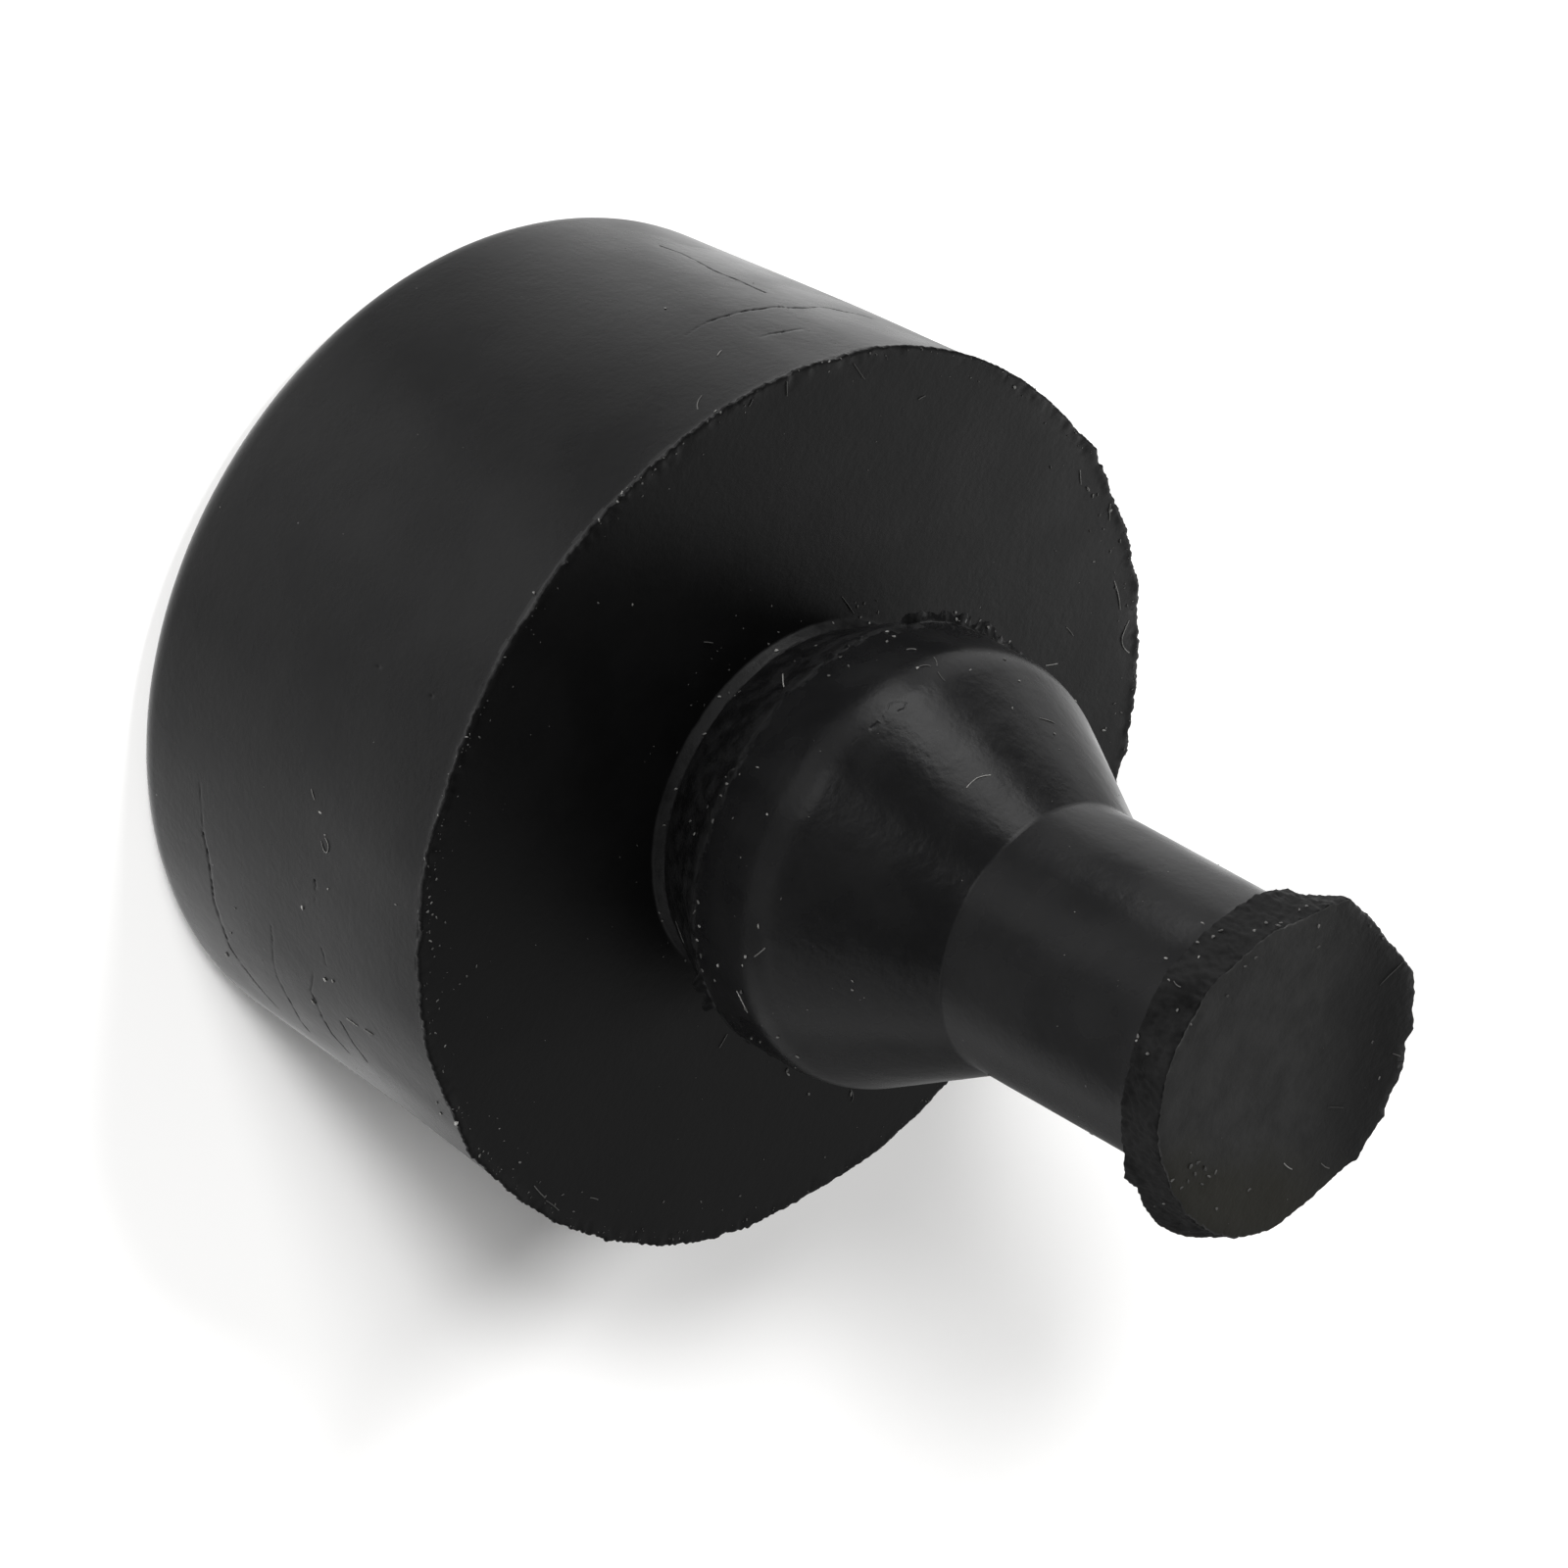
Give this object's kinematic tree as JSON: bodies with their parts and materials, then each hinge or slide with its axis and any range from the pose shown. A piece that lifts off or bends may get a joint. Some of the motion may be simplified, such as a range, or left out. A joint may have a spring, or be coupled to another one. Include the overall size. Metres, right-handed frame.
{
  "type": "rubber buffer",
  "caption": "Push-in rubber buffer: a drafted round head that takes the blow, a neck groove for a panel hole, a conical barb and a pull-in tail.",
  "frame": {"origin": "middle of the striking face, the flat end of the head that takes the blow", "axes": "+Z along the buffer's axis, from the striking face through the head and barb to the end of the pull-in tail; X and Y are any two directions across"},
  "size_m": [0.02, 0.02, 0.0244],
  "materials": {
    "rubber": "moulded black rubber with a soft satin sheen, torn and trimmed at the fins"
  },
  "bodies": {
    "root": {"rubber_buffer": "rubber"}
  },
  "joints": []
}
